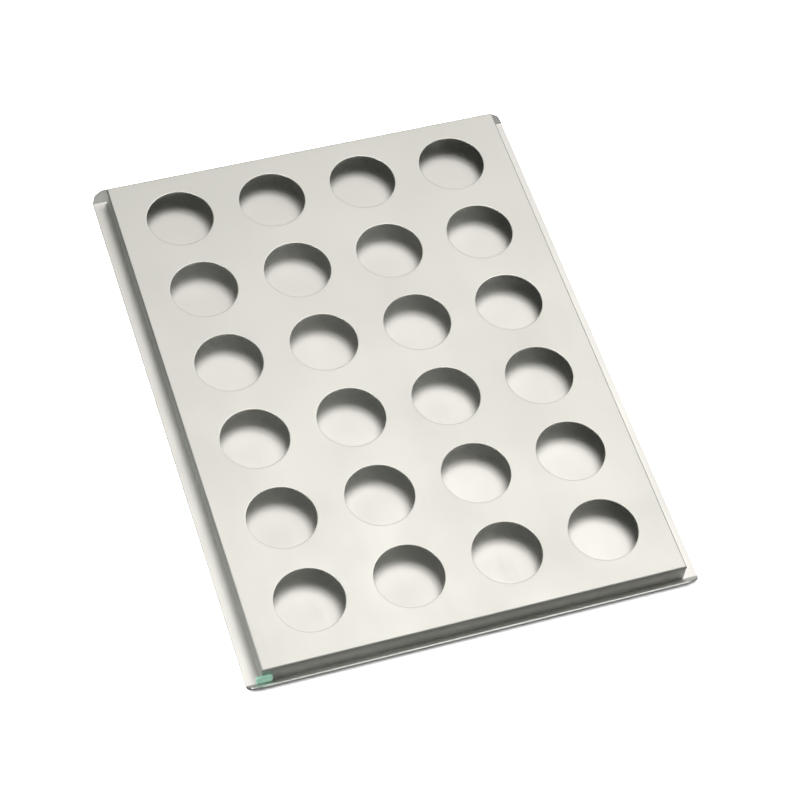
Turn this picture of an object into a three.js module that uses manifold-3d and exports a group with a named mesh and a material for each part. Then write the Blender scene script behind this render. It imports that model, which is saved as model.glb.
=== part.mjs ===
import * as THREE from 'three';
import { mergeVertices } from 'three/addons/utils/BufferGeometryUtils.js';
import Module from 'manifold-3d';

// Muffin baking set: a flat baking tray with two turned-up ends, a perforated
// insert plate that stands in it on four folded skirts, and a soft bumper
// pushed into the insert's front-left corner.
// Millimetres, +Z up. X runs across the four columns of holes, Y along the six
// rows. The origin is the centre of the tray's underside.

// ---- driving dimensions (mm) -------------------------------------------------

// baking tray
const TRAY_WIDTH = 450;         // X, over the flat long edges
const TRAY_LENGTH = 600;        // Y, over the turned-up ends
const TRAY_SHEET = 1.5;         // sheet thickness
const RIM_ANGLE = 50;           // degrees between floor and turned-up end
const RIM_RISE = 10;            // height of the end above the floor's top face
const RIM_BEND_INNER = 1.5;     // bend radius on the floor's top face
const CORNER_TAPER = 3;         // each turned-up end narrows by this at both sides ...
const CORNER_TAPER_SLANT = 8.6; // ... up to here along its slope, where the corner is clipped
const CORNER_CLIP_ANGLE = 28;   // degrees between the clip and the end's edge

// insert plate
const INSERT_WIDTH = 420.8;     // X, outside the side skirts
const INSERT_LENGTH = 579.2;    // Y, outside the end skirts
const INSERT_HEIGHT = 22;       // Z, foot of the skirts to the top face
const INSERT_SHEET = 1.2;       // sheet thickness
const INSERT_BEND_OUTER = 1.6;  // outside bend radius along the four top edges
const FOOT_GAP = 0.35;          // foot of the skirts above the tray floor
const HOLE_COLUMNS = 4;
const HOLE_ROWS = 6;
const HOLE_DIAMETER = 68;
const HOLE_PITCH_X = 98;
const HOLE_PITCH_Y = 92.8;
const HOLE_CENTRE_X = 0;        // middle of the hole grid from the plate's middle
const HOLE_CENTRE_Y = 2.5;
const SEAM_WIDTH = 0.8;         // open seam at each end of the end skirts
const SEAM_TOP = 3.4;           // closed sheet left above the seam

// corner bumper
const BUMPER_WIDTH = 16;        // X
const BUMPER_DEPTH = 2.9;       // Y, in front of the skirt
const BUMPER_HEIGHT = 10.8;     // Z
const BUMPER_LEFT = -216.2;     // left end, outside the left skirt
const BUMPER_BOTTOM = 5;        // underside above the origin
const BUMPER_ROUND = 1.2;       // rounding of its edges
const BUMPER_GAP = 0.3;         // clearance to the skirt
const STEM_X = -203.4;          // stem through the front skirt
const STEM_DIAMETER = 3.6;
const STEM_HOLE_DIAMETER = 4.4;
const STEM_HEAD_DIAMETER = 5.6;
const STEM_HEAD_LENGTH = 1.8;

// ---- derived dimensions ------------------------------------------------------

const TRAY_HX = TRAY_WIDTH / 2;
const TRAY_HY = TRAY_LENGTH / 2;
const A = THREE.MathUtils.degToRad(RIM_ANGLE);
// sharp bend line of the floor's top face
const BEND_Y = TRAY_HY - TRAY_SHEET * Math.sin(A) - RIM_RISE / Math.tan(A);
const RIM_SLANT = RIM_RISE / Math.sin(A);

const INSERT_HX = INSERT_WIDTH / 2;
const INSERT_HY = INSERT_LENGTH / 2;
const FOOT_Z = TRAY_SHEET + FOOT_GAP;
const DECK_Z = FOOT_Z + INSERT_HEIGHT;

// ---- materials ---------------------------------------------------------------

const trayMetal = new THREE.MeshStandardMaterial({ color: 0xd3d3cf, roughness: 0.34, metalness: 1 });
const insertMetal = new THREE.MeshStandardMaterial({ color: 0xd6d5cf, roughness: 0.36, metalness: 1 });
const bumperRubber = new THREE.MeshStandardMaterial({ color: 0x7fab97, roughness: 0.6, metalness: 0 });

// ---- joining and cutting -----------------------------------------------------

const wasm = await Module();
wasm.setup();

function solid(geometry) {
  const g = geometry.clone();
  for (const name of Object.keys(g.attributes)) if (name !== 'position') g.deleteAttribute(name);
  const merged = mergeVertices(g, 1e-4);
  return new wasm.Manifold(new wasm.Mesh({
    numProp: 3,
    vertProperties: new Float32Array(merged.attributes.position.array),
    triVerts: new Uint32Array(merged.index.array),
  }));
}

function geometryOf(manifold) {
  const m = manifold.getMesh();
  const g = new THREE.BufferGeometry();
  g.setAttribute('position', new THREE.BufferAttribute(new Float32Array(m.vertProperties), 3));
  g.setIndex(new THREE.BufferAttribute(new Uint32Array(m.triVerts), 1));
  const flat = g.toNonIndexed();
  flat.computeVertexNormals();
  return flat;
}

// shape drawn in X and Z, extruded along Y from y0 to y1
function alongY(shape, y0, y1, curveSegments = 6) {
  const g = new THREE.ExtrudeGeometry(shape, { depth: y1 - y0, bevelEnabled: false, curveSegments });
  g.rotateX(Math.PI / 2);          // drawn (x, z) plane, extrusion now towards -Y
  g.translate(0, y1, 0);
  return g;
}

// shape drawn in Y and Z, extruded along X from x0 to x1
function alongX(shape, x0, x1, curveSegments = 6) {
  const g = new THREE.ExtrudeGeometry(shape, { depth: x1 - x0, bevelEnabled: false, curveSegments });
  const m = new THREE.Matrix4().set(
    0, 0, 1, x0,
    1, 0, 0, 0,
    0, 1, 0, 0,
    0, 0, 0, 1);
  g.applyMatrix4(m);
  return g;
}

function box(x0, x1, y0, y1, z0, z1) {
  const g = new THREE.BoxGeometry(x1 - x0, y1 - y0, z1 - z0);
  g.translate((x0 + x1) / 2, (y0 + y1) / 2, (z0 + z1) / 2);
  return g;
}

// ---- baking tray -------------------------------------------------------------

function trayProfile() {
  const ri = RIM_BEND_INNER;
  const ro = ri + TRAY_SHEET;
  const back = ri * Math.tan(A / 2);          // bend starts this far before the sharp line
  const y0 = BEND_Y - back;                   // end of the flat floor
  const topY = BEND_Y + RIM_RISE / Math.tan(A);
  const topZ = TRAY_SHEET + RIM_RISE;
  const lowY = topY + TRAY_SHEET * Math.sin(A);
  const lowZ = topZ - TRAY_SHEET * Math.cos(A);
  const cz = TRAY_SHEET + ri;                 // centre of both bend arcs
  const s = new THREE.Shape();
  s.moveTo(-y0, 0);
  s.lineTo(y0, 0);
  s.absarc(y0, cz, ro, -Math.PI / 2, -Math.PI / 2 + A, false);
  s.lineTo(lowY, lowZ);
  s.lineTo(topY, topZ);
  s.absarc(y0, cz, ri, -Math.PI / 2 + A, -Math.PI / 2, true);
  s.lineTo(-y0, TRAY_SHEET);
  s.absarc(-y0, cz, ri, -Math.PI / 2, -Math.PI / 2 - A, true);
  s.lineTo(-topY, topZ);
  s.lineTo(-lowY, lowZ);
  s.absarc(-y0, cz, ro, -Math.PI / 2 - A, -Math.PI / 2, false);
  return s;
}

// side outline of a turned-up end as [inset, way up the slope], from the bend line to the edge:
// a slight taper, then a clipped corner, both rounded where they meet
function cornerOutline() {
  const top = CORNER_TAPER + (RIM_SLANT - CORNER_TAPER_SLANT) / Math.tan(THREE.MathUtils.degToRad(CORNER_CLIP_ANGLE));
  const knots = [
    new THREE.Vector2(0, 0.6), new THREE.Vector2(CORNER_TAPER, CORNER_TAPER_SLANT),
    new THREE.Vector2(top, RIM_SLANT), new THREE.Vector2(top + 12, RIM_SLANT)];
  const out = [knots[0]];
  for (const [k, cut] of [[1, 2.2], [2, 3]]) {
    const before = knots[k].clone().add(knots[k - 1].clone().sub(knots[k]).setLength(cut));
    const after = knots[k].clone().add(knots[k + 1].clone().sub(knots[k]).setLength(cut));
    out.push(...new THREE.QuadraticBezierCurve(before, knots[k], after).getPoints(4));
  }
  return out;
}

// what the corner leaves out, drawn in the plane of a turned-up end: first axis across the tray,
// second axis up the slope from the bend line
function cornerWaste(side) {
  const over = 4;
  const line = cornerOutline();
  const s = new THREE.Shape();
  s.moveTo(side * (TRAY_HX + over), line[0].y);
  for (const q of line) s.lineTo(side * (TRAY_HX - q.x), q.y);
  s.lineTo(side * (TRAY_HX - line[line.length - 1].x), RIM_SLANT + over);
  s.lineTo(side * (TRAY_HX + over), RIM_SLANT + over);
  return s;
}

function cornerCutter(side, end) {
  const depth = TRAY_SHEET + 8;
  const g = new THREE.ExtrudeGeometry(cornerWaste(side), { depth, bevelEnabled: false });
  g.translate(0, 0, -TRAY_SHEET - 4);
  g.rotateX(A);                               // lay the drawing plane along the slope
  g.translate(0, BEND_Y, TRAY_SHEET);
  if (end < 0) g.rotateZ(Math.PI);            // the same cut at the other end
  return solid(g);
}

function bakingTray() {
  let tray = solid(alongX(trayProfile(), -TRAY_HX, TRAY_HX, 5));
  for (const side of [-1, 1]) for (const end of [-1, 1]) tray = tray.subtract(cornerCutter(side, end));
  return geometryOf(tray);
}

// ---- insert plate ------------------------------------------------------------

// upright section with its two top corners rounded by the bend
function hood(half, z0, z1, r) {
  const s = new THREE.Shape();
  s.moveTo(-half, z0);
  s.lineTo(half, z0);
  s.lineTo(half, z1 - r);
  s.absarc(half - r, z1 - r, r, 0, Math.PI / 2, false);
  s.lineTo(-half + r, z1);
  s.absarc(-half + r, z1 - r, r, Math.PI / 2, Math.PI, false);
  return s;
}

function insertPlate() {
  const t = INSERT_SHEET;
  const ro = INSERT_BEND_OUTER;
  const ri = ro - t;
  const over = 6;
  const outer = solid(alongY(hood(INSERT_HX, FOOT_Z, DECK_Z, ro), -INSERT_HY - over, INSERT_HY + over, 4))
    .intersect(solid(alongX(hood(INSERT_HY, FOOT_Z, DECK_Z, ro), -INSERT_HX - over, INSERT_HX + over, 4)));
  const inner = solid(alongY(hood(INSERT_HX - t, FOOT_Z - over, DECK_Z - t, ri), -INSERT_HY - over, INSERT_HY + over, 4))
    .intersect(solid(alongX(hood(INSERT_HY - t, FOOT_Z - over, DECK_Z - t, ri), -INSERT_HX - over, INSERT_HX + over, 4)));
  let plate = outer.subtract(inner);

  // round holes
  for (let i = 0; i < HOLE_COLUMNS; i++) {
    for (let j = 0; j < HOLE_ROWS; j++) {
      const g = new THREE.CylinderGeometry(HOLE_DIAMETER / 2, HOLE_DIAMETER / 2, 4 * t, 40);
      g.rotateX(Math.PI / 2);
      g.translate(
        HOLE_CENTRE_X + (i - (HOLE_COLUMNS - 1) / 2) * HOLE_PITCH_X,
        HOLE_CENTRE_Y + (j - (HOLE_ROWS - 1) / 2) * HOLE_PITCH_Y,
        DECK_Z - t / 2);
      plate = plate.subtract(solid(g));
    }
  }

  // open corner seams: the side skirts run through, the end skirts stop short of them
  for (const sx of [-1, 1]) {
    for (const sy of [-1, 1]) {
      const x0 = sx * (INSERT_HX - t);
      const x1 = sx * (INSERT_HX - t - SEAM_WIDTH);
      const y0 = sy * (INSERT_HY - t - 0.6);
      const y1 = sy * (INSERT_HY + 2);
      plate = plate.subtract(solid(box(
        Math.min(x0, x1), Math.max(x0, x1), Math.min(y0, y1), Math.max(y0, y1),
        FOOT_Z - 2, DECK_Z - SEAM_TOP)));
    }
  }

  // hole in the front skirt for the bumper's stem
  const stemHole = new THREE.CylinderGeometry(STEM_HOLE_DIAMETER / 2, STEM_HOLE_DIAMETER / 2, 6 * t, 20);
  stemHole.translate(STEM_X, -INSERT_HY + t / 2, BUMPER_BOTTOM + BUMPER_HEIGHT / 2);
  plate = plate.subtract(solid(stemHole));
  return geometryOf(plate);
}

// ---- corner bumper -----------------------------------------------------------

function cornerBumper() {
  const w = BUMPER_WIDTH - 2 * BUMPER_ROUND;
  const h = BUMPER_HEIGHT - 2 * BUMPER_ROUND;
  const r = 1.6;
  const s = new THREE.Shape();              // block outline in X and Z, inside its rounding
  s.moveTo(-w / 2 + r, -h / 2);
  s.lineTo(w / 2 - r, -h / 2);
  s.absarc(w / 2 - r, -h / 2 + r, r, -Math.PI / 2, 0, false);
  s.lineTo(w / 2, h / 2 - r);
  s.absarc(w / 2 - r, h / 2 - r, r, 0, Math.PI / 2, false);
  s.lineTo(-w / 2 + r, h / 2);
  s.absarc(-w / 2 + r, h / 2 - r, r, Math.PI / 2, Math.PI, false);
  s.lineTo(-w / 2, -h / 2 + r);
  s.absarc(-w / 2 + r, -h / 2 + r, r, Math.PI, Math.PI * 1.5, false);
  const g = new THREE.ExtrudeGeometry(s, {
    depth: BUMPER_DEPTH - 2 * BUMPER_ROUND, curveSegments: 4,
    bevelEnabled: true, bevelThickness: BUMPER_ROUND, bevelSize: BUMPER_ROUND, bevelSegments: 3,
  });
  g.translate(0, 0, -(BUMPER_DEPTH - 2 * BUMPER_ROUND) / 2);
  g.rotateX(Math.PI / 2);
  const midZ = BUMPER_BOTTOM + BUMPER_HEIGHT / 2;
  const backY = -INSERT_HY - BUMPER_GAP;
  g.translate(BUMPER_LEFT + BUMPER_WIDTH / 2, backY - BUMPER_DEPTH / 2, midZ);

  // stem through the skirt, with a barbed head behind it
  const headY = -INSERT_HY + INSERT_SHEET + BUMPER_GAP;
  const stemStart = backY - BUMPER_DEPTH / 2;
  const stemEnd = headY + STEM_HEAD_LENGTH / 2;
  const stem = new THREE.CylinderGeometry(STEM_DIAMETER / 2, STEM_DIAMETER / 2, stemEnd - stemStart, 20);
  stem.translate(STEM_X, (stemStart + stemEnd) / 2, midZ);
  const head = new THREE.CylinderGeometry(STEM_DIAMETER / 2 - 0.4, STEM_HEAD_DIAMETER / 2, STEM_HEAD_LENGTH, 20);
  head.translate(STEM_X, headY + STEM_HEAD_LENGTH / 2, midZ);
  return geometryOf(solid(g).add(solid(stem)).add(solid(head)));
}

// ---- assembly ----------------------------------------------------------------

function mesh(name, geometry, material) {
  const m = new THREE.Mesh(geometry, material);
  m.name = name;
  return m;
}

const set = new THREE.Group();
set.add(mesh('baking_tray', bakingTray(), trayMetal));

const insert = new THREE.Group();           // lifts out as one
insert.add(mesh('insert_plate', insertPlate(), insertMetal));
insert.add(mesh('corner_bumper', cornerBumper(), bumperRubber));
set.add(insert);

export default set;
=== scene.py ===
import math

import bpy
import numpy as np
from mathutils import Matrix, Vector


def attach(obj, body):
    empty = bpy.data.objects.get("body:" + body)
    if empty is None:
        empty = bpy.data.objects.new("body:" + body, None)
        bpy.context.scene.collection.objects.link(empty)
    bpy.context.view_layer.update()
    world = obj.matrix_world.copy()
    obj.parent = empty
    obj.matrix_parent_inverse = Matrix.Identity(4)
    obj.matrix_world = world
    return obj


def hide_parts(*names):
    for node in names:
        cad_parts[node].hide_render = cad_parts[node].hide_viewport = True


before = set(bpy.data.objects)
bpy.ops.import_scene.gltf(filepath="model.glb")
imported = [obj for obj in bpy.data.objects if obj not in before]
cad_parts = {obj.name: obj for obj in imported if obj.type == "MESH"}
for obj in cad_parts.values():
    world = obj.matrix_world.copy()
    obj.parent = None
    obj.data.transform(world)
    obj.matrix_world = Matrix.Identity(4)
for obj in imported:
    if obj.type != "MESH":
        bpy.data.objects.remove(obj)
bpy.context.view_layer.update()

scene = bpy.context.scene
MM = 0.001

# ---------------------------------------------------------------- sizes, in millimetres
# baking tray: one sheet, both short ends turned up
TRAY_HX, TRAY_HY, TRAY_T = 225.0, 300.0, 1.5
TRAY_TILT = math.radians(50)
TRAY_RISE = 10.0                # height of the turned-up ends above the floor's top face
TRAY_BEND_R = 1.5               # bend radius on the top face
TRAY_BEND_Y = TRAY_HY - TRAY_T * math.sin(TRAY_TILT) - TRAY_RISE / math.tan(TRAY_TILT)   # sharp bend line
TRAY_SLANT = TRAY_RISE / math.sin(TRAY_TILT)                                             # from there to the edge
TAPER, TAPER_SLANT, CLIP = 3.0, 8.6, math.radians(28)                                    # the ends' clipped corners

# insert plate: one sheet with round holes, a skirt folded down on each side
INS_HX, INS_HY, INS_T = 210.4, 289.6, 1.2
INS_BEND = 1.35                 # outside bend radius
FOOT_Z, DECK_Z = 1.85, 23.85
HOLE_R = 34.0
PITCH_X, PITCH_Y = 98.0, 92.8
GRID_X, GRID_Y = 0.0, 2.5
SEAM_Z = 20.45                  # top of the open corner seams
STEM_X, STEM_Z, STEM_HOLE_R = -203.4, 10.4, 2.2

# corner bumper
BUMP_X0, BUMP_X1 = -216.2, -200.2
BUMP_Z0, BUMP_Z1 = 5.0, 15.8
BUMP_Y0, BUMP_Y1 = -292.8, -289.9


# ---------------------------------------------------------------- folded sheet metal
class FoldedSheet:
    """A sheet given by the points of its outer face. Each point holds the step to the other face, so bends keep
    their thickness. Every free edge is closed by a cut edge with rounded corners."""

    def __init__(self, thickness, steps=3):
        self.t, self.steps = thickness, steps
        self.p, self.d, self.b, self.faces, self.at = [], [], [], [], {}

    def point(self, p, normal, b=0.2, mitre=None):
        key = tuple(round(float(c), 3) for c in p)
        if key not in self.at:
            self.at[key] = len(self.p)
            self.p.append(np.array(p, float))
            step = -np.array(normal, float) if mitre is None else np.array(mitre, float)
            self.d.append(step * self.t)
            self.b.append(b)
        return self.at[key]

    def face(self, *ids):
        ids = [v for k, v in enumerate(ids) if v != ids[k - 1]]
        if len(ids) < 3:
            return
        a, b, c = (self.p[i] for i in ids[:3])
        n = np.cross(b - a, c - a)
        if len(ids) == 4:
            n = n + np.cross(c - a, self.p[ids[3]] - a)
        if n @ sum(self.d[i] for i in ids) > 0:
            ids = ids[::-1]
        self.faces.append(tuple(ids))

    def grid(self, rows):
        """Faces between neighbouring rows of points, all of one length."""
        for lower, upper in zip(rows, rows[1:]):
            for k in range(len(lower) - 1):
                self.face(lower[k], lower[k + 1], upper[k + 1], upper[k])

    def solid(self):
        """Points and faces of the closed sheet, and a 1 for each face of a cut edge."""
        p, d, t = self.p, self.d, self.t
        n = len(p)
        points = list(p) + [p[i] + d[i] for i in range(n)]
        faces = [(f, 0) for f in self.faces]
        faces += [(tuple(n + i for i in reversed(f)), 0) for f in self.faces]
        used, out = {}, {}
        for f in self.faces:
            for k, a in enumerate(f):
                used[(a, f[(k + 1) % len(f)])] = f
        before, after = {}, {}
        for (a, b), f in used.items():
            if (b, a) in used:
                continue
            q = [p[i] for i in f]
            normal = sum(np.cross(q[k] - q[0], q[k + 1] - q[0]) for k in range(1, len(q) - 1))
            o = np.cross(p[b] - p[a], normal)
            out[(a, b)] = o / np.linalg.norm(o)
            after[a], before[b] = b, a
        rings = {}
        for v in after:
            o1, o2 = out[(before[v], v)], out[(v, after[v])]
            way = (o1 + o2) / max(1 + o1 @ o2, 0.35)
            b, h = self.b[v], d[v] / t
            ring = [v]
            for k in range(1, self.steps + 1):
                a = math.pi / 2 * k / self.steps
                ring.append(len(points))
                points.append(p[v] + way * b * math.sin(a) + h * b * (1 - math.cos(a)))
            for k in range(self.steps):
                a = math.pi / 2 * k / self.steps
                ring.append(len(points))
                points.append(p[v] + way * b * math.cos(a) + h * (t - b + b * math.sin(a)))
            rings[v] = ring + [n + v]
        for a, b in out:
            ra, rb = rings[a], rings[b]
            for k in range(len(ra) - 1):
                faces.append(((rb[k], ra[k], ra[k + 1], rb[k + 1]), 1))
        return points, faces


def add_mesh(name, points, faces, marks=None, sharp=38):
    mesh = bpy.data.meshes.new(name)
    mesh.from_pydata([tuple(float(c) * MM for c in q) for q in points], [], [list(f) for f in faces])
    mesh.validate(clean_customdata=False)
    mesh.polygons.foreach_set("use_smooth", [True] * len(mesh.polygons))
    if marks is not None:
        mesh.polygons.foreach_set("material_index", marks)
    mesh.set_sharp_from_angle(angle=math.radians(sharp))
    mesh.update()
    obj = bpy.data.objects.new(name, mesh)
    scene.collection.objects.link(obj)
    w = obj.modifiers.new("even_normals", "WEIGHTED_NORMAL")
    w.keep_sharp = True
    w.weight = 80
    return obj


def sheet_object(name, sheet):
    points, faces = sheet.solid()
    return add_mesh(name, points, [f for f, _ in faces], [m for _, m in faces])


# ---------------------------------------------------------------- the baking tray
def tray_corner(b):
    """Side outline of a turned-up end as (inset, way up the slope): a slight taper, then a clipped corner. Drawn b
    inside the cut edge."""
    top = TAPER + (TRAY_SLANT - TAPER_SLANT) / math.tan(CLIP)
    knots = [np.array(q) for q in ((0.0, 0.6), (TAPER, TAPER_SLANT), (top, TRAY_SLANT), (top + 12, TRAY_SLANT))]
    line = [knots[0]]
    for k, cut, n in ((1, 2.2, 9), (2, 3.0, 7)):
        at = knots[k]
        u, v = knots[k - 1] - at, knots[k + 1] - at
        one, two = at + u / np.linalg.norm(u) * cut, at + v / np.linalg.norm(v) * cut
        for t in np.linspace(0, 1, n):
            line.append(one * (1 - t) ** 2 + 2 * at * t * (1 - t) + two * t ** 2)
    out = []
    for k, q in enumerate(line):
        run = line[min(k + 1, len(line) - 1)] - line[max(k - 1, 0)]
        run = run / np.linalg.norm(run)
        out.append(q + b * np.array((run[1], -run[0])))
    out[0] = np.array((b, 0.6))
    out[-1] = np.array((out[-1][0], TRAY_SLANT - b))
    return out


def make_tray():
    s = FoldedSheet(TRAY_T)
    b = 0.28
    flat_y = TRAY_BEND_Y - TRAY_BEND_R * math.tan(TRAY_TILT / 2)
    cz = TRAY_T + TRAY_BEND_R
    half = TRAY_HX - b
    rows = []                                   # (y, z, normal y, normal z, half width) from the middle outwards
    for k in range(13):
        rows.append((flat_y * k / 12, TRAY_T, 0.0, 1.0, half))
    for k in range(1, 9):
        a = TRAY_TILT * k / 8
        rows.append((flat_y + TRAY_BEND_R * math.sin(a), cz - TRAY_BEND_R * math.cos(a),
                     -math.sin(a), math.cos(a), half))
    c, sn = math.cos(TRAY_TILT), math.sin(TRAY_TILT)
    start = TRAY_BEND_R * math.tan(TRAY_TILT / 2)           # the bend ends here on the slope
    for inset, along in tray_corner(b):
        if along > start + 0.05:
            rows.append((TRAY_BEND_Y + along * c, TRAY_T + along * sn, -sn, c, TRAY_HX - inset))
    spread = [math.sin(math.pi / 2 * (-1 + 2 * k / 28)) * 0.35 + (-1 + 2 * k / 28) * 0.65 for k in range(29)]
    for end in (-1, 1):
        lines = [[s.point((u * w, end * y, z), (0, end * ny, nz), b) for u in spread] for y, z, ny, nz, w in rows]
        s.grid(lines)
    return sheet_object("tray_sheet", s)


# ---------------------------------------------------------------- the insert plate
def make_insert():
    s = FoldedSheet(INS_T)
    up = (0.0, 0.0, 1.0)
    per_side = 20
    fx, fy = INS_HX - INS_BEND, INS_HY - INS_BEND        # flat deck, half sizes
    hx, hy = PITCH_X / 2, PITCH_Y / 2
    hole_b = 0.24

    def cell(cx, cy):
        rings = []
        for out, drop in ((hole_b, 0.085), (0.5, 0.05), (0.8, 0.02), (1.3, 0.0), (2.2, 0.0), (4.5, 0.0)):
            ring, radius = [], HOLE_R + out                # the punch leaves a soft roll around each hole
            for k in range(4 * per_side):
                a = math.radians(-45 + 90 * k / per_side)
                ring.append(s.point((cx + radius * math.cos(a), cy + radius * math.sin(a), DECK_Z - drop), up, hole_b))
            rings.append(ring)
        edge = []
        for k in range(4 * per_side):
            side, f = divmod(k, per_side)
            f = 2 * f / per_side - 1
            q = [(hx, hy * f), (-hx * f, hy), (-hx, -hy * f), (hx * f, -hy)][side]
            edge.append(s.point((cx + q[0], cy + q[1], DECK_Z), up))
        rings.append(edge)
        for ring, wider in zip(rings, rings[1:]):
            for k in range(len(ring)):
                j = (k + 1) % len(ring)
                s.face(ring[k], wider[k], wider[j], ring[j])

    for i in range(4):
        for j in range(6):
            cell(GRID_X + (i - 1.5) * PITCH_X, GRID_Y + (j - 2.5) * PITCH_Y)

    gx0, gx1 = GRID_X - 2 * PITCH_X, GRID_X + 2 * PITCH_X
    gy0, gy1 = GRID_Y - 3 * PITCH_Y, GRID_Y + 3 * PITCH_Y
    xs = [-fx] + [gx0 + PITCH_X * k / per_side for k in range(4 * per_side + 1)] + [fx]
    ys = [-fy] + [gy0 + PITCH_Y * k / per_side for k in range(6 * per_side + 1)] + [fy]

    def deck_line(points):
        return [s.point((x, y, DECK_Z), up) for x, y in points]

    s.grid([deck_line([(-fx, y) for y in ys]), deck_line([(gx0, y) for y in ys])])
    s.grid([deck_line([(gx1, y) for y in ys]), deck_line([(fx, y) for y in ys])])
    s.grid([deck_line([(x, -fy) for x in xs[1:-1]]), deck_line([(x, gy0) for x in xs[1:-1]])])
    s.grid([deck_line([(x, gy1) for x in xs[1:-1]]), deck_line([(x, fy) for x in xs[1:-1]])])

    bend = [math.pi / 2 * k / 10 for k in range(11)]
    seam_b, edge_b, foot_b = 0.2, 0.52, 0.3
    seam_z = SEAM_Z + seam_b                               # outer face ends here, above the seam
    low = [SEAM_Z - 0.2, STEM_Z + 5.2, STEM_Z - 5.2, FOOT_Z + foot_b]

    def mitre(sx, sy, a, z=None):
        k = INS_BEND * math.sin(a)
        q = (sx * (fx + k), sy * (fy + k), DECK_Z - INS_BEND + INS_BEND * math.cos(a) if z is None else z)
        return s.point(q, up, seam_b, (-sx * math.sin(a), -sy * math.sin(a), -math.cos(a)))

    for sx in (-1, 1):                                     # long sides: their skirts run right through
        rows = []
        for a in bend:
            k, z = INS_BEND * math.sin(a), DECK_Z - INS_BEND + INS_BEND * math.cos(a)
            row = [s.point((sx * (fx + k), y, z), (sx * math.sin(a), 0, math.cos(a))) for y in ys]
            rows.append([mitre(sx, -1, a)] + row + [mitre(sx, 1, a)])
        row = [s.point((sx * INS_HX, y, seam_z), (sx, 0, 0)) for y in ys]
        rows.append([mitre(sx, -1, math.pi / 2, seam_z)] + row + [mitre(sx, 1, math.pi / 2, seam_z)])
        ends = [-(INS_HY - edge_b)] + ys + [INS_HY - edge_b]
        for z in low:
            b = foot_b if z == low[-1] else edge_b
            rows.append([s.point((sx * INS_HX, y, z), (sx, 0, 0), b) for y in ends])
        s.grid(rows)

    for sy in (-1, 1):                                     # short sides: open seams at both ends
        rows = []
        for a in bend:
            k, z = INS_BEND * math.sin(a), DECK_Z - INS_BEND + INS_BEND * math.cos(a)
            row = [s.point((x, sy * (fy + k), z), (0, sy * math.sin(a), math.cos(a))) for x in xs]
            rows.append([mitre(-1, sy, a)] + row + [mitre(1, sy, a)])
        row = [s.point((x, sy * INS_HY, seam_z), (0, sy, 0)) for x in xs]
        rows.append([mitre(-1, sy, math.pi / 2, seam_z)] + row + [mitre(1, sy, math.pi / 2, seam_z)])
        s.grid(rows)
        rows = [row]
        for z in low:
            rows.append([s.point((x, sy * INS_HY, z), (0, sy, 0), foot_b if z == low[-1] else seam_b) for x in xs])
        for r, (upper, lower) in enumerate(zip(rows, rows[1:])):
            for k in range(len(xs) - 1):
                if sy < 0 and r == 2 and k == 0:           # the bumper's stem hole is in this patch
                    corners = [upper[1], upper[0], lower[0], lower[1]]
                    ring, m = [], 6
                    for q in range(4 * m):
                        a = math.radians(45 + 90 * q / m)
                        rr = STEM_HOLE_R + 0.15
                        ring.append(s.point((STEM_X + rr * math.cos(a), sy * INS_HY, STEM_Z + rr * math.sin(a)),
                                            (0, sy, 0), 0.15))
                    for q in range(4):
                        for h in range(-(m // 2), m // 2):
                            s.face(corners[q], ring[(q * m + h) % (4 * m)], ring[(q * m + h + 1) % (4 * m)])
                        s.face(corners[q], ring[(q * m + m // 2) % (4 * m)], corners[(q + 1) % 4])
                else:
                    s.face(upper[k], upper[k + 1], lower[k + 1], lower[k])
    return sheet_object("insert_sheet", s)


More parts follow.
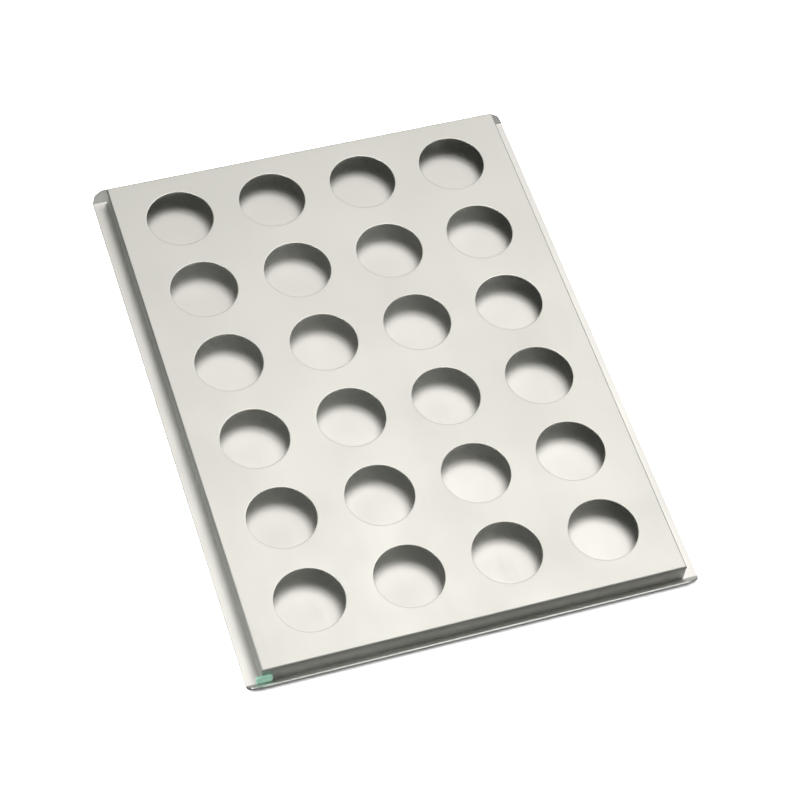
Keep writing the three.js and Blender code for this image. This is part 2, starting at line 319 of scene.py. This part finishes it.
# ---------------------------------------------------------------- the corner bumper
def make_bumper():
    """Soft moulded block with a barbed stem, lofted as rings from the barb's tip to the middle of its front face."""
    n = 64
    cx, cz = (BUMP_X0 + BUMP_X1) / 2, (BUMP_Z0 + BUMP_Z1) / 2
    wx, wz = (BUMP_X1 - BUMP_X0) / 2, (BUMP_Z1 - BUMP_Z0) / 2

    def disc(radius, y):
        return [(STEM_X + radius * math.cos(2 * math.pi * k / n), y,
                 STEM_Z + radius * math.sin(2 * math.pi * k / n)) for k in range(n)]

    def block(inset, y, corner):
        """Rounded rectangle, by arc length so that the rings line up."""
        ax, az = wx - inset, wz - inset
        r = min(corner, ax, az)
        path = []
        for q, (sx, sz) in enumerate(((1, 1), (-1, 1), (-1, -1), (1, -1))):
            for k in range(13):
                a = math.pi / 2 * (q + k / 12)
                path.append((sx * (ax - r) + r * math.cos(a), sz * (az - r) + r * math.sin(a)))
        path = np.array(path + path[:1])
        run = np.concatenate([[0], np.cumsum(np.linalg.norm(np.diff(path, axis=0), axis=1))])
        at = (np.arange(n) / n * run[-1] - 0.125 * run[-1] + run[6]) % run[-1]
        got = np.stack([np.interp(at, run, path[:, 0]), np.interp(at, run, path[:, 1])], 1)
        return [(cx + u, y, cz + v) for u, v in got]

    rings = []
    tip_y, base_y = -286.3, -288.1
    for k in range(1, 6):                                   # rounded tip
        a = math.pi / 2 * k / 5
        rings.append(disc(1.5 * math.sin(a), tip_y - 0.35 * (1 - math.cos(a))))
    rings.append(disc(2.15, -287.15))
    rings.append(disc(2.62, -287.65))
    rings.append(disc(2.8, base_y + 0.22))
    rings.append(disc(2.74, base_y + 0.05))
    rings.append(disc(2.6, base_y))
    rings.append(disc(2.0, base_y - 0.02))
    rings.append(disc(1.8, base_y - 0.2))
    rings.append(disc(1.8, BUMP_Y1 + 0.25))
    rings.append(disc(1.84, BUMP_Y1 + 0.06))
    first = disc(1.95, BUMP_Y1)
    rings.append(first)
    edge, corner = 0.7, 1.5
    last = block(edge, BUMP_Y1, corner - edge)
    for k in (0.34, 0.68):
        rings.append([tuple(np.array(a) * (1 - k) + np.array(b) * k) for a, b in zip(first, last)])
    rings.append(last)
    for k in range(1, 6):                                   # back edge, rounded
        a = math.pi / 2 * k / 5
        rings.append(block(edge * (1 - math.sin(a)), BUMP_Y1 - edge * (1 - math.cos(a)),
                           corner - edge + edge * math.sin(a)))
    rings.append(block(0.0, (BUMP_Y0 + BUMP_Y1) / 2, corner))
    for k in range(0, 6):                                   # front edge, rounded
        a = math.pi / 2 * k / 5
        rings.append(block(edge * (1 - math.cos(a)), BUMP_Y0 + edge * (1 - math.sin(a)),
                           corner - edge * (1 - math.cos(a))))
    rings.append(block(1.3, BUMP_Y0 + 0.01, 0.7))
    rings.append(block(2.6, BUMP_Y0 + 0.04, 0.6))           # the face is a little sunk in the middle
    rings.append(block(4.2, BUMP_Y0 + 0.06, 0.4))
    points = [q for ring in rings for q in ring]
    faces = []
    for a in range(len(rings) - 1):
        for k in range(n):
            j = (k + 1) % n
            faces.append((a * n + k, a * n + j, (a + 1) * n + j, (a + 1) * n + k))
    tip = len(points)
    points.append((STEM_X, tip_y, STEM_Z))
    faces += [(tip, (k + 1) % n, k) for k in range(n)]
    front = len(points)
    points.append((cx, BUMP_Y0 + 0.07, cz))
    m = (len(rings) - 1) * n
    faces += [(front, m + k, m + (k + 1) % n) for k in range(n)]
    obj = add_mesh("bumper_block", points, faces, sharp=60)
    return obj


# ---------------------------------------------------------------- materials
def node(tree, kind, **values):
    made = tree.nodes.new(kind)
    for key, value in values.items():
        if key in made.inputs:
            made.inputs[key].default_value = value
        else:
            setattr(made, key, value)
    return made


def noise(tree, coords, scale, detail=3.0, rough=0.55, stretch=(1, 1, 1), move=(0, 0, 0)):
    place = node(tree, "ShaderNodeMapping")
    place.inputs["Scale"].default_value = stretch
    place.inputs["Location"].default_value = move
    made = node(tree, "ShaderNodeTexNoise", Scale=scale, Detail=detail, Roughness=rough)
    tree.links.new(coords, place.inputs["Vector"])
    tree.links.new(place.outputs["Vector"], made.inputs["Vector"])
    return made.outputs["Fac"]


def ranged(tree, value, low, high, a=0.3, b=0.7):
    made = node(tree, "ShaderNodeMapRange")
    made.inputs["From Min"].default_value, made.inputs["From Max"].default_value = a, b
    made.inputs["To Min"].default_value, made.inputs["To Max"].default_value = low, high
    tree.links.new(value, made.inputs["Value"])
    return made.outputs["Result"]


def added(tree, *values):
    total = values[0]
    for v in values[1:]:
        made = node(tree, "ShaderNodeMath", operation="ADD")
        tree.links.new(total, made.inputs[0])
        tree.links.new(v, made.inputs[1])
        total = made.outputs[0]
    return total


def bumped(tree, heights):
    """Bump from several heights, each with its real depth in metres."""
    normal = None
    for value, depth in heights:
        made = node(tree, "ShaderNodeBump", Strength=1.0, Distance=depth)
        tree.links.new(value, made.inputs["Height"])
        if normal is not None:
            tree.links.new(normal, made.inputs["Normal"])
        normal = made.outputs["Normal"]
    return normal


def shader(name):
    mat = bpy.data.materials.new(name)
    mat.use_nodes = True
    tree = mat.node_tree
    tree.nodes.clear()
    out = node(tree, "ShaderNodeOutputMaterial")
    bsdf = node(tree, "ShaderNodeBsdfPrincipled")
    tree.links.new(bsdf.outputs["BSDF"], out.inputs["Surface"])
    coords = node(tree, "ShaderNodeTexCoord").outputs["Object"]
    return mat, tree, bsdf, coords


def sheet_metal(name, dark, light, rough, move=(0, 0, 0)):
    """Satin rolled sheet: fine rolling lines along Y, a fine grain, and a faint cloudiness in tone and gloss."""
    mat, tree, bsdf, coords = shader(name)
    lines = noise(tree, coords, 1.0, 4.0, 0.6, (850, 9, 850), move)
    grain = noise(tree, coords, 2600.0, 2.0, 0.5, (1, 1, 1), move)
    cloud = noise(tree, coords, 11.0, 4.0, 0.55, (1, 1, 1), move)
    sweep = noise(tree, coords, 3.2, 1.0, 0.4, (1, 1, 1), move)
    tone = node(tree, "ShaderNodeMix", data_type="RGBA")
    mixed = added(tree, ranged(tree, cloud, 0.0, 0.65), ranged(tree, lines, 0.0, 0.2), ranged(tree, grain, 0.0, 0.15))
    tree.links.new(mixed, tone.inputs[0])
    tone.inputs[6].default_value = (*dark, 1)
    tone.inputs[7].default_value = (*light, 1)
    tree.links.new(tone.outputs[2], bsdf.inputs["Base Color"])
    gloss = added(tree, ranged(tree, cloud, rough - 0.03, rough + 0.03), ranged(tree, lines, -0.012, 0.012),
                  ranged(tree, grain, -0.015, 0.015))
    tree.links.new(gloss, bsdf.inputs["Roughness"])
    bsdf.inputs["Metallic"].default_value = 1.0
    normal = bumped(tree, [(sweep, 0.0006), (lines, 0.0000022), (grain, 0.0000025)])
    tree.links.new(normal, bsdf.inputs["Normal"])
    return mat


def cut_metal(name, dark, light, rough):
    """Sheared edge of the sheet: brighter, with fine marks across the thickness."""
    mat, tree, bsdf, coords = shader(name)
    marks = noise(tree, coords, 1.0, 3.0, 0.6, (1500, 1500, 120))
    patch = noise(tree, coords, 60.0, 3.0, 0.5)
    tone = node(tree, "ShaderNodeMix", data_type="RGBA")
    tree.links.new(added(tree, ranged(tree, marks, 0.0, 0.6), ranged(tree, patch, 0.0, 0.4)), tone.inputs[0])
    tone.inputs[6].default_value = (*dark, 1)
    tone.inputs[7].default_value = (*light, 1)
    tree.links.new(tone.outputs[2], bsdf.inputs["Base Color"])
    tree.links.new(added(tree, ranged(tree, marks, rough - 0.06, rough + 0.06), ranged(tree, patch, -0.03, 0.03)),
                   bsdf.inputs["Roughness"])
    bsdf.inputs["Metallic"].default_value = 1.0
    tree.links.new(bumped(tree, [(marks, 0.000012)]), bsdf.inputs["Normal"])
    return mat


def silicone(name, dark, light):
    """Soft moulded silicone: even colour with a faint cloud, and a fine matt grain."""
    mat, tree, bsdf, coords = shader(name)
    cloud = noise(tree, coords, 420.0, 3.0, 0.5)
    grain = noise(tree, coords, 5200.0, 2.0, 0.5)
    tone = node(tree, "ShaderNodeMix", data_type="RGBA")
    tree.links.new(added(tree, ranged(tree, cloud, 0.0, 0.7), ranged(tree, grain, 0.0, 0.3)), tone.inputs[0])
    tone.inputs[6].default_value = (*dark, 1)
    tone.inputs[7].default_value = (*light, 1)
    tree.links.new(tone.outputs[2], bsdf.inputs["Base Color"])
    tree.links.new(added(tree, ranged(tree, cloud, 0.5, 0.62), ranged(tree, grain, -0.04, 0.04)), bsdf.inputs["Roughness"])
    bsdf.inputs["Metallic"].default_value = 0.0
    bsdf.inputs["IOR"].default_value = 1.42
    bsdf.inputs["Sheen Weight"].default_value = 0.08
    bsdf.inputs["Sheen Roughness"].default_value = 0.5
    tree.links.new(bumped(tree, [(cloud, 0.00006), (grain, 0.000012)]), bsdf.inputs["Normal"])
    return mat


insert_face = sheet_metal("insert_satin", (0.685, 0.685, 0.665), (0.735, 0.735, 0.715), 0.555)
tray_face = sheet_metal("tray_satin", (0.755, 0.755, 0.74), (0.805, 0.805, 0.79), 0.555, (3.1, 1.7, 0.4))
insert_cut = cut_metal("insert_cut_edge", (0.80, 0.80, 0.78), (0.92, 0.92, 0.90), 0.34)
tray_cut = cut_metal("tray_cut_edge", (0.80, 0.80, 0.78), (0.92, 0.92, 0.90), 0.34)
green = silicone("bumper_silicone", (0.335, 0.590, 0.465), (0.370, 0.640, 0.510))

tray = make_tray()
insert = make_insert()
bumper = make_bumper()
for obj, mats in ((tray, (tray_face, tray_cut)), (insert, (insert_face, insert_cut)), (bumper, (green,))):
    for m in mats:
        obj.data.materials.append(m)

for obj, body, cad, slot in ((tray, "tray", "baking_tray", "tray_metal"),
                             (insert, "insert", "insert_plate", "insert_metal"),
                             (bumper, "insert", "corner_bumper", "bumper_rubber")):
    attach(obj, body)
    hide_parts(cad)

# ---------------------------------------------------------------- floor
mesh = bpy.data.meshes.new("floor")
k = 40.0
mesh.from_pydata([(-k, -k, -0.0002), (k, -k, -0.0002), (k, k, -0.0002), (-k, k, -0.0002)], [], [(0, 1, 2, 3)])
floor = bpy.data.objects.new("floor", mesh)
scene.collection.objects.link(floor)
mat, tree, bsdf, coords = shader("floor_paper")
paper = noise(tree, coords, 6.0, 2.0, 0.5)
tone = node(tree, "ShaderNodeMix", data_type="RGBA")
tree.links.new(ranged(tree, paper, 0.0, 1.0), tone.inputs[0])
tone.inputs[6].default_value = (0.885, 0.885, 0.88, 1)
tone.inputs[7].default_value = (0.90, 0.90, 0.895, 1)
tree.links.new(tone.outputs[2], bsdf.inputs["Base Color"])
bsdf.inputs["Roughness"].default_value = 0.9
bsdf.inputs["Specular IOR Level"].default_value = 0.1
mesh.materials.append(mat)
floor.visible_glossy = False      # the pale sweep throws no light back on the metal
floor.visible_diffuse = False

# ---------------------------------------------------------------- light
def softbox(name, place, aim, size, power, colour=(1, 1, 1)):
    data = bpy.data.lights.new(name, "AREA")
    data.shape = "RECTANGLE"
    data.size, data.size_y = size
    data.energy = power
    data.color = colour
    obj = bpy.data.objects.new(name, data)
    obj.location = place
    obj.rotation_mode = "QUATERNION"
    obj.rotation_quaternion = (Vector(aim) - Vector(place)).to_track_quat("-Z", "Y")
    scene.collection.objects.link(obj)
    return obj


def direction(azimuth, zenith):
    """Unit vector; azimuth 0 is the back (+Y), 90 the right (+X); zenith 0 is straight up."""
    a, z = math.radians(azimuth), math.radians(zenith)
    return Vector((math.sin(z) * math.sin(a), math.sin(z) * math.cos(a), math.cos(z)))


def lamp(name, azimuth, zenith, distance, size, radiance, colour):
    return softbox(name, direction(azimuth, zenith) * distance, (0, 0, 0), size,
                   radiance * math.pi * size[0] * size[1], colour)


WARM, COOL = (1.0, 0.972, 0.921), (0.965, 1.0, 0.95)
lamps = [
    lamp("softbox_key", 38, 20.5, 5.0, (2.2, 2.2), 5.0, WARM),
    lamp("softbox_ceiling", 52, 18, 5.0, (4.4, 4.4), 0.87, WARM),
    lamp("softbox_front", 162, 60, 4.0, (1.8, 1.1), 1.75, COOL),
    lamp("softbox_back_low", 15, 75, 4.0, (1.6, 1.6), 0.6, COOL),
    lamp("softbox_left", 248, 76, 1.05, (0.5, 0.4), 6.4, COOL),
]

# a soft light from above for the floor alone keeps the paper as pale as a studio sweep, far out too
data = bpy.data.lights.new("soft_floor", "SUN")
data.energy = 10.4
data.angle = math.radians(52)
sweep = bpy.data.objects.new("soft_floor", data)
scene.collection.objects.link(sweep)
only_floor = bpy.data.collections.new("floor_only")
only_floor.objects.link(floor)
sweep.light_linking.receiver_collection = only_floor
only_pan = bpy.data.collections.new("pan_only")
for obj in (tray, insert, bumper):
    only_pan.objects.link(obj)
for obj in lamps:
    obj.light_linking.receiver_collection = only_pan
    obj.visible_camera = False
bumper_light = lamp("softbox_bumper", 192, 76, 4.0, (2.0, 2.0), 3.4, (1, 1, 1))
only_bumper = bpy.data.collections.new("bumper_only")
only_bumper.objects.link(bumper)
bumper_light.light_linking.receiver_collection = only_bumper
bumper_light.light_linking.blocker_collection = only_bumper

# a dim studio with a soft bright belt around it, and the pale sweep showing low at the sides and behind
world = bpy.data.worlds.new("studio")
world.use_nodes = True
tree = world.node_tree
way = node(tree, "ShaderNodeSeparateXYZ")
tree.links.new(node(tree, "ShaderNodeTexCoord").outputs["Generated"], way.inputs["Vector"])


def product(one, two):
    made = node(tree, "ShaderNodeMath", operation="MULTIPLY")
    tree.links.new(one, made.inputs[0])
    tree.links.new(two, made.inputs[1])
    return made.outputs[0]


def over(fac, low, colour):
    made = node(tree, "ShaderNodeMix", data_type="RGBA")
    tree.links.new(fac, made.inputs[0])
    if isinstance(low, tuple):
        made.inputs[6].default_value = (*low, 1)
    else:
        tree.links.new(low, made.inputs[6])
    made.inputs[7].default_value = (*colour, 1)
    return made.outputs[2]


across, along, up = way.outputs["X"], way.outputs["Y"], way.outputs["Z"]
belt = product(ranged(tree, up, 0.0, 1.0, 0.02, 0.14), ranged(tree, up, 1.0, 0.0, 0.40, 0.56))
belt = product(belt, ranged(tree, along, 0.55, 1.0, -0.25, 0.35))
belt = product(belt, ranged(tree, across, 0.15, 1.0, -0.65, -0.25))
sweep_seen = product(ranged(tree, up, 1.0, 0.0, -0.30, 0.0), ranged(tree, along, 0.0, 1.0, -0.45, 0.05))
sweep_seen = product(sweep_seen, ranged(tree, across, 0.1, 1.0, -0.2, 0.35))
sky = over(belt, (0.020, 0.021, 0.020), (0.55, 0.565, 0.54))
sky = over(sweep_seen, sky, (0.55, 0.57, 0.55))
tree.links.new(sky, tree.nodes["Background"].inputs["Color"])
tree.nodes["Background"].inputs["Strength"].default_value = 1.0
scene.world = world
scene.view_settings.view_transform = "Standard"
scene.view_settings.look = "None"

# ---------------------------------------------------------------- camera, at the photograph's viewpoint
cam_data = bpy.data.cameras.new("camera")
cam_data.sensor_fit = "AUTO"
cam_data.sensor_width = 36.0
cam_data.lens = 116.5345
cam_data.clip_start, cam_data.clip_end = 0.05, 60.0
camera = bpy.data.objects.new("camera", cam_data)
scene.collection.objects.link(camera)
camera.matrix_world = Matrix((
    (0.949689, 0.211626, -0.230881, -0.584898),
    (-0.303670, 0.802616, -0.513413, -1.345031),
    (0.076657, 0.557694, 0.826499, 2.129187),
    (0, 0, 0, 1),
))
scene.camera = camera

bpy.context.view_layer.update()
